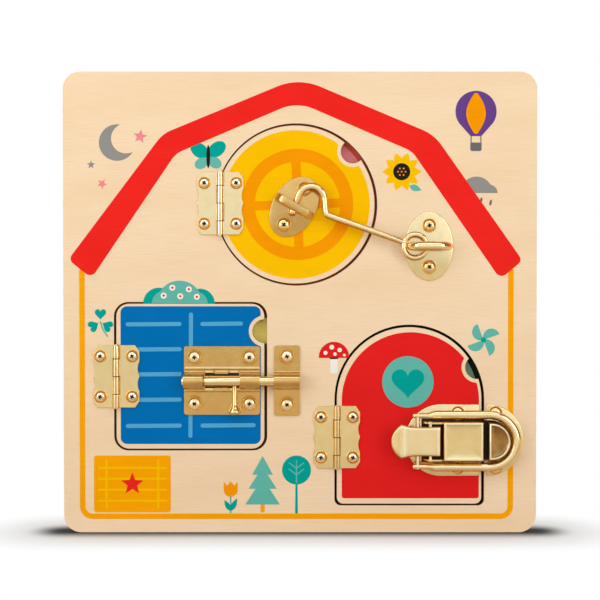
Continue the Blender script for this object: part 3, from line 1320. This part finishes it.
def build_housing():
    """Box over the lever's base: the lid, and two cheeks with ears that hold the lever's pin."""
    box, pin = Box("latch_housing"), Box("latch_lever_pin")
    left, right, top = pin.x + LID_SETBACK, box.right, box.top
    shade("latch_base_shade", "arch_door", box.left - SHADE_FRONT, box.foot - SHADE_SIDE, right + SHADE_BACK,
          box.head + SHADE_SIDE, Box("latch_base").top + LATCH_SHADE_RISE)
    build_housing_lid(left, right, box.z, box.half_h, top)
    front, back, step, upper = pin.x - PIN_EAR_BACK, right - CHEEK_INSET, right - STEP_INSET, top - CHEEK_TOP
    cheek = [(back, CHEEK_STEP), (back, upper), (left + 0.2, upper), (left - 1.2, pin.out + PIN_EAR_R)]
    cheek += arc(pin.x, pin.out, PIN_EAR_R, 90, 180, 10)
    cheek += [(front, pin.out - 2.4), (front, CHEEK_FOOT), (step, CHEEK_FOOT), (step, CHEEK_STEP)]
    bm = bmesh.new()
    side_plates(bm, cheek, box.z, box.half_h - CHEEK_IN, box.half_h - CHEEK_OUT)
    make_piece("latch_housing_sides_look", bm, "satin_brass", "arch_door", "latch_housing", 30)


def lever_half(ahead):
    """Half width of the lever ahead of its pin: a slight waist, a flare past the crease and a round tip."""
    waist = LEVER_WAIST * math.sin(math.pi * clamp((ahead - LEVER_BACK) / (LEVER_CREASE - LEVER_BACK)))
    half = LEVER_HALF - waist + (FLARE_HALF - LEVER_HALF) * clamp((ahead - FLARE_FROM) / FLARE_L) ** FLARE_POWER
    if ahead > TIP_CENTRE:
        half = min(half, math.sqrt(max(TIP_R ** 2 - (ahead - TIP_CENTRE) ** 2, 0.02)))
    return half


def lever_rise(ahead, share):
    """Height of the lever's top over its pin, at a share of its half width: dished, with rolled edges."""
    step = clamp((ahead - LEVER_CREASE + CREASE_HALF) / (CREASE_HALF * 2))
    lift = max(0.0, (ahead - LEVER_CREASE - 1) / (LEVER_TIP - LEVER_CREASE - 1))
    base = LEVER_RISE - CREASE_DROP * step * step * (3 - 2 * step) + TIP_LIFT * lift ** 1.4
    roll = ROLL * abs(share) ** ROLL_POWER + 0.5 * max(0.0, LEVER_BACK + 0.9 - ahead) ** 2
    dish = LEVER_DISH * (1 - share ** 2) * (1 - lift)
    return base - dish - roll


def build_lever():
    """Duckbill lever, closed: a dished body with rolled edges, a crease and an upturned round tip."""
    pin = Box("latch_lever_pin")
    rows = [LEVER_BACK, LEVER_BACK + 0.15, LEVER_BACK + 0.5] + [LEVER_BACK + 1 + i * 0.9 for i in range(33)]
    rows = [row for row in rows if row < LEVER_TIP - 0.4] + [LEVER_TIP - 0.3, LEVER_TIP - 0.1, LEVER_TIP]
    shares = [0, 0.25, 0.5, 0.75, 0.86, 0.92, 0.96, 0.985, 1]
    shares = [-share for share in shares[:0:-1]] + shares
    bm = bmesh.new()
    tops, unders = [], []
    for row in rows:
        half = lever_half(row)
        tops.append(ring_of(bm, [at(pin.x - row, pin.z + s * half, pin.out + lever_rise(row, s)) for s in shares]))
    for row in rows:
        half = lever_half(row) * 0.985
        heights = [pin.out + lever_rise(row, s) - LEVER_T + 0.5 * abs(s) ** ROLL_POWER for s in shares]
        unders.append(ring_of(bm, [at(pin.x - row, pin.z + s * half, out) for s, out in zip(shares, heights)]))
    for sheet in (tops, unders):
        skin(bm, sheet, closed=False, caps=False)
    for side in (0, -1):
        skin(bm, [[line[side] for line in sheet] for sheet in (tops, unders)], closed=False, caps=False)
    for end in (0, -1):
        skin(bm, [tops[end], unders[end]], closed=False, caps=False)
    front, back = pin.x - FLANGE_AHEAD, pin.x + FLANGE_BEHIND
    flange = arc(front + FLANGE_R, pin.out, FLANGE_R, 180, 270, 8) + arc(back - FLANGE_R, pin.out, FLANGE_R, -90, 0, 8)
    flange += [(back, pin.out + FLANGE_TOP), (front, pin.out + FLANGE_TOP)]
    side_plates(bm, flange, pin.z, FLANGE_IN, FLANGE_OUT)
    lever = make_piece("latch_lever_look", bm, ["bright_brass", "pale_brass", "under_brass", "satin_brass"],
                       "latch_lever", "latch_lever", 50)
    for face in lever.data.polygons:
        x, z, out = spot(face.center)
        ahead = pin.x - x
        past_crease = ahead - LEVER_CREASE
        if out < pin.out + 0.4 or face.normal.y > -0.3:
            continue
        edge = abs(z - pin.z) / lever_half(ahead) > LEVER_EDGE
        if edge or ahead < LEVER_BACK + 0.4 or ahead > LEVER_TIP - 0.2:
            face.material_index = 2
        elif CREST_FROM < past_crease < CREST_TO or ahead < LEVER_BACK + 1.6:
            face.material_index = 1
        elif past_crease > CREST_FADE:
            face.material_index = 3


def build_bail():
    """Loop over the keeper: thick round-edged strip whose ends narrow where the pin goes through them."""
    box, pin = Box("latch_bail"), Box("latch_bail_pin")
    half, out = box.half_h - BAIL_W / 2, box.under + BAIL_H / 2
    centre_x = box.right - BAIL_W / 2 - half
    # Along a leg: distance from the pin and how far it has grown from the neck to its full size.
    leg = [(-2.3, 0.0), (0, 0.0), (6.5, 0.0), (8.0, 0.2), (9.7, 0.75), (11.5, 1.0), (17.5, 1.0),
           (centre_x - 8 - pin.x, 1.0)]

    def leg_points(side):
        return [(at(pin.x + ahead, pin.z + side * (half - BAIL_NECK_IN * (1 - grown)),
                    pin.out + (out - pin.out) * grown),
                 round_section((BAIL_NECK_W + (BAIL_W - BAIL_NECK_W) * grown) / 2,
                               (BAIL_NECK_H + (BAIL_H - BAIL_NECK_H) * grown) / 2, 36)) for ahead, grown in leg]
    loop = []
    for a in [math.pi / 2 - math.pi * k / 32 for k in range(33)]:
        swell = BAIL_SWELL * math.cos(a) ** 2
        loop.append((at(centre_x + (half + swell / 2) * math.cos(a), pin.z + half * math.sin(a), out),
                     round_section((BAIL_W + swell) / 2, BAIL_H / 2, 36)))
    path, sections = zip(*(leg_points(1) + loop + leg_points(-1)[::-1]))
    bm = bmesh.new()
    sweep(bm, path, sections, Vector((0, -1, 0)), end_round=BAR_END)
    bail = make_piece("latch_bail_look", bm, "clear_brass", "latch_bail", "latch_bail", 50)
    darken_edges(bail, below=0.7, above=0.9)


def build_pins():
    """The draw latch's two cross pins, each with a bright line between dark sides."""
    for node, body, shorter in (("latch_lever_pin", "arch_door", 0.0), ("latch_bail_pin", "latch_lever", 1.5)):
        box = Box(node)
        bm = bmesh.new()
        lathe(bm, rod_profile(box.half_w, box.half_h - shorter), at(box.x, box.z, box.out), (0, 0, 1), 28)
        pin = make_piece(node + "_look", bm, ["clear_brass", "pale_brass", "under_brass"], body,
                         node, 50)
        for face in pin.data.polygons:
            face.material_index = 2 if abs(face.normal.x) > 0.7 else 1 if face.normal.y < -0.9 else 0


def build_keeper_cap():
    """Domed D-shaped catch that the loop goes round, and the deep shadow between the two."""
    box, plate = Box("latch_keeper_cap"), Box("latch_keeper_plate")
    left, z, half, top = box.left, box.z, box.half_h, box.top
    outline = [(left + CAP_CORNER, z - half)] + arc(box.right - half, z, half, -90, 90, 40)
    outline += [(left + CAP_CORNER, z + half), (left, z + half - CAP_CORNER), (left, z - half + CAP_CORNER)]
    # Up the wall and over the rim: distance inwards and height.
    shape = ((0.5, 1.2), (0.15, 2.4), (0.0, top - 1.8), (0.15, top - 0.9), (0.6, top - 0.25), (1.1, top),
             (1.6, top - 0.15), (2.1, top - 0.55), (3.4, top - 0.85))
    bm = bmesh.new()
    skin(bm, [level(bm, inset(outline, inward), height) for inward, height in shape])
    cap = make_piece("latch_keeper_cap_look", bm, ["aged_brass", "recess", "pale_brass"], "board",
                     "latch_keeper_cap", 40)
    for face in cap.data.polygons:
        depth = top - spot(face.center)[2]
        if face.normal.x < -0.8 and depth > CAP_BACK_DEPTH:
            face.material_index = 1
        elif depth < CAP_RIM_DEPTH:
            face.material_index = 2
    left, reach, out = plate.left - KEEPER_SHADE_LEFT, half + KEEPER_SHADE_REACH, plate.top + LATCH_SHADE_RISE
    patch = [(left, z - reach)] + arc(box.right - half, z, reach, -90, 90, 40) + [(left, z + reach)]
    bm = bmesh.new()
    slab(bm, patch, out - 1, out)
    make_piece("latch_keeper_shade", bm, "recess", "board", angle=0)


def build_latch_plates():
    """The two D-shaped plates below the draw latch, with a soft pressed edge."""
    for node, body, side in (("latch_base", "arch_door", -1), ("latch_keeper_plate", "board", 1)):
        box = Box(node)
        z, half = box.z, box.half_h
        flat, far = (box.right, box.left) if side < 0 else (box.left, box.right)
        inner = flat + side * PLATE_CORNER * 0.3
        outline = [(inner, z - half + 0.2), (flat, z - half + PLATE_CORNER), (flat, z + half - PLATE_CORNER),
                   (inner, z + half - 0.2)]
        outline += [(far - side * half + side * x, z + y) for x, y in arc(0, 0, half, 90, -90, 60)]
        bm = bmesh.new()
        slab(bm, outline, 0, box.top, edge=0.6, steps=4)
        make_piece(node + "_look", bm, "satin_brass", body, node, 50)


# ---- Softened CAD pieces ----

HINGE_EDGE, BOLT_EDGE = 0.3, 0.5
WOOD_EDGES = {"front_board": 0.5, "back_board": 0.4, "round_door": 0.35, "square_door": 0.35, "arch_door": 0.35}


def soften(node, width, rim=None):
    """Rounds a CAD node's sharp edges by modifiers alone, in a finish of their own if wanted."""
    piece = NODES[node]
    piece.modifiers.new("weld", "WELD").merge_threshold = 1e-6
    bevel = piece.modifiers.new("edge", "BEVEL")
    bevel.width = width * MM
    bevel.segments = 2
    bevel.limit_method = "ANGLE"
    bevel.angle_limit = math.radians(40)
    bevel.use_clamp_overlap = True
    if rim:
        piece.data.materials.append(MATERIALS[rim])
        bevel.material = len(piece.data.materials) - 1
    piece.modifiers.new("normals", "WEIGHTED_NORMAL").keep_sharp = True
    piece.data.shade_smooth()


def soften_pieces():
    for name in ("round", "square", "arch"):
        for part in ("_hinge_fixed_leaf", "_hinge_door_leaf", "_hinge_pin"):
            soften(name + part, HINGE_EDGE, "deep_brass")
    for node in ("bolt_base", "bolt_keeper"):
        soften(node, BOLT_EDGE, "deep_brass")
    for node, width in WOOD_EDGES.items():
        soften(node, width)


def dress_pieces():
    """Gives every CAD node the finish of its slot, and the wood its plywood."""
    slots = {row["node"]: row["material_slot"] for row in frame["record"]["subparts"]}
    for node, piece in NODES.items():
        wood = "plywood" if node.endswith("_board") else "door_plywood"
        piece.data.materials.clear()
        piece.data.materials.append(MATERIALS[wood if node in WOOD_EDGES else slots[node]])


# ---- The whole scene ----

bpy.context.scene.view_settings.view_transform = "Standard"
make_camera()
make_world()
make_lights()
make_floor()
make_materials()
dress_pieces()
print_picture()
for hinge in ("round", "square", "arch"):
    finish_knuckles(hinge)
build_screws()
build_hook()
build_staple()
build_eye_plate()
build_catch()
build_knob()
build_rod()
build_bolt_base()
build_housing()
build_lever()
build_bail()
build_pins()
build_keeper_cap()
build_latch_plates()
soften_pieces()
